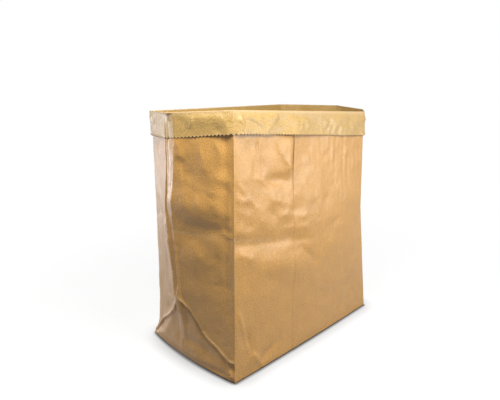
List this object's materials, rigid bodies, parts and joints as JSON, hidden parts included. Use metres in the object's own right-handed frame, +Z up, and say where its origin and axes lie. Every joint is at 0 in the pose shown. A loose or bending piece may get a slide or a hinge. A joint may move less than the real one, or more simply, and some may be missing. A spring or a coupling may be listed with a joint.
{
  "type": "paper yard waste bag",
  "caption": "Free-standing kraft paper yard waste bag with a flat pasted base, side gussets and a turned-down pinked cuff that folds up.",
  "frame": {"origin": "on the floor, under the middle of the base", "axes": "+Z up; the front panel with the lap seam faces -Y; +X to the right of someone who looks at the front"},
  "size_m": [0.5997, 0.3161, 0.5647],
  "materials": {
    "outer_kraft": "matt machine-finished brown kraft",
    "liner_kraft": "matt yellow-brown kraft"
  },
  "bodies": {
    "bag": {"base_back_flap": "outer_kraft", "base_front_flap": "outer_kraft", "base_left_tuck": "outer_kraft", "base_right_tuck": "outer_kraft", "liner_back_panel": "liner_kraft", "liner_back_right_corner": "liner_kraft", "liner_base": "liner_kraft", "liner_front_panel": "liner_kraft", "liner_front_right_corner": "liner_kraft", "liner_left_foot": "liner_kraft", "liner_left_gusset_front": "liner_kraft", "liner_left_gusset_rear": "liner_kraft", "liner_right_foot": "liner_kraft", "liner_right_gusset_front": "liner_kraft", "liner_right_gusset_rear": "liner_kraft", "outer_back_panel": "outer_kraft", "outer_back_right_corner": "outer_kraft", "outer_front_left_panel": "outer_kraft", "outer_front_right_corner": "outer_kraft", "outer_front_right_panel": "outer_kraft", "outer_left_foot": "outer_kraft", "outer_left_gusset_front": "outer_kraft", "outer_left_gusset_rear": "outer_kraft", "outer_right_foot": "outer_kraft", "outer_right_gusset_front": "outer_kraft", "outer_right_gusset_rear": "outer_kraft"},
    "back_cuff": {"back_cuff_liner": "liner_kraft", "back_cuff_outer_ply": "outer_kraft"},
    "back_right_corner_cuff": {"back_right_corner_cuff_liner": "liner_kraft", "back_right_corner_cuff_outer_ply": "outer_kraft"},
    "front_cuff": {"front_cuff_liner": "liner_kraft", "front_cuff_outer_ply": "outer_kraft"},
    "front_right_corner_cuff": {"front_right_corner_cuff_liner": "liner_kraft", "front_right_corner_cuff_outer_ply": "outer_kraft"},
    "left_front_cuff": {"left_front_cuff_liner": "liner_kraft", "left_front_cuff_outer_ply": "outer_kraft"},
    "left_rear_cuff": {"left_rear_cuff_liner": "liner_kraft", "left_rear_cuff_outer_ply": "outer_kraft"},
    "right_front_cuff": {"right_front_cuff_liner": "liner_kraft", "right_front_cuff_outer_ply": "outer_kraft"},
    "right_rear_cuff": {"right_rear_cuff_liner": "liner_kraft", "right_rear_cuff_outer_ply": "outer_kraft"}
  },
  "joints": [
    {"name": "front_cuff_fold", "type": "hinge", "parent": "bag", "child": "front_cuff", "pos_m": [-0.2445, -0.14099, 0.56501], "axis": [-0.9994, 0.0006, 0.0351], "range_deg": [0, 180]},
    {"name": "back_cuff_fold", "type": "hinge", "parent": "bag", "child": "back_cuff", "pos_m": [0.21056, 0.14104, 0.56201], "axis": [0.9999, -0.0002, 0.0132], "range_deg": [0, 180]},
    {"name": "back_right_corner_cuff_fold", "type": "hinge", "parent": "bag", "child": "back_right_corner_cuff", "pos_m": [0.25675, 0.10912, 0.56101], "axis": [0.8217, -0.5696, -0.0179], "range_deg": [0, 180]},
    {"name": "front_right_corner_cuff_fold", "type": "hinge", "parent": "bag", "child": "front_right_corner_cuff", "pos_m": [0.21107, -0.14117, 0.54901], "axis": [-0.8185, -0.5701, -0.0714], "range_deg": [0, 180]},
    {"name": "left_front_cuff_fold", "type": "hinge", "parent": "bag", "child": "left_front_cuff", "pos_m": [-0.29732, -0.00017, 0.55801], "axis": [-0.3501, 0.9356, -0.0454], "range_deg": [0, 180]},
    {"name": "left_rear_cuff_fold", "type": "hinge", "parent": "bag", "child": "left_rear_cuff", "pos_m": [-0.24511, 0.14083, 0.55601], "axis": [0.3488, 0.9371, -0.0143], "range_deg": [0, 180]},
    {"name": "right_front_cuff_fold", "type": "hinge", "parent": "bag", "child": "right_front_cuff", "pos_m": [0.25707, -0.10903, 0.55301], "axis": [-0.3472, -0.9358, -0.0611], "range_deg": [0, 180]},
    {"name": "right_rear_cuff_fold", "type": "hinge", "parent": "bag", "child": "right_rear_cuff", "pos_m": [0.29736, 0.00017, 0.56001], "axis": [0.3496, -0.9369, -0.0075], "range_deg": [0, 180]}
  ],
  "couplings": [
    {"joint": "back_cuff_fold", "follows": "front_cuff_fold", "ratio": 1},
    {"joint": "back_right_corner_cuff_fold", "follows": "front_cuff_fold", "ratio": 1},
    {"joint": "front_right_corner_cuff_fold", "follows": "front_cuff_fold", "ratio": 1},
    {"joint": "left_front_cuff_fold", "follows": "front_cuff_fold", "ratio": 1},
    {"joint": "left_rear_cuff_fold", "follows": "front_cuff_fold", "ratio": 1},
    {"joint": "right_front_cuff_fold", "follows": "front_cuff_fold", "ratio": 1},
    {"joint": "right_rear_cuff_fold", "follows": "front_cuff_fold", "ratio": 1}
  ]
}
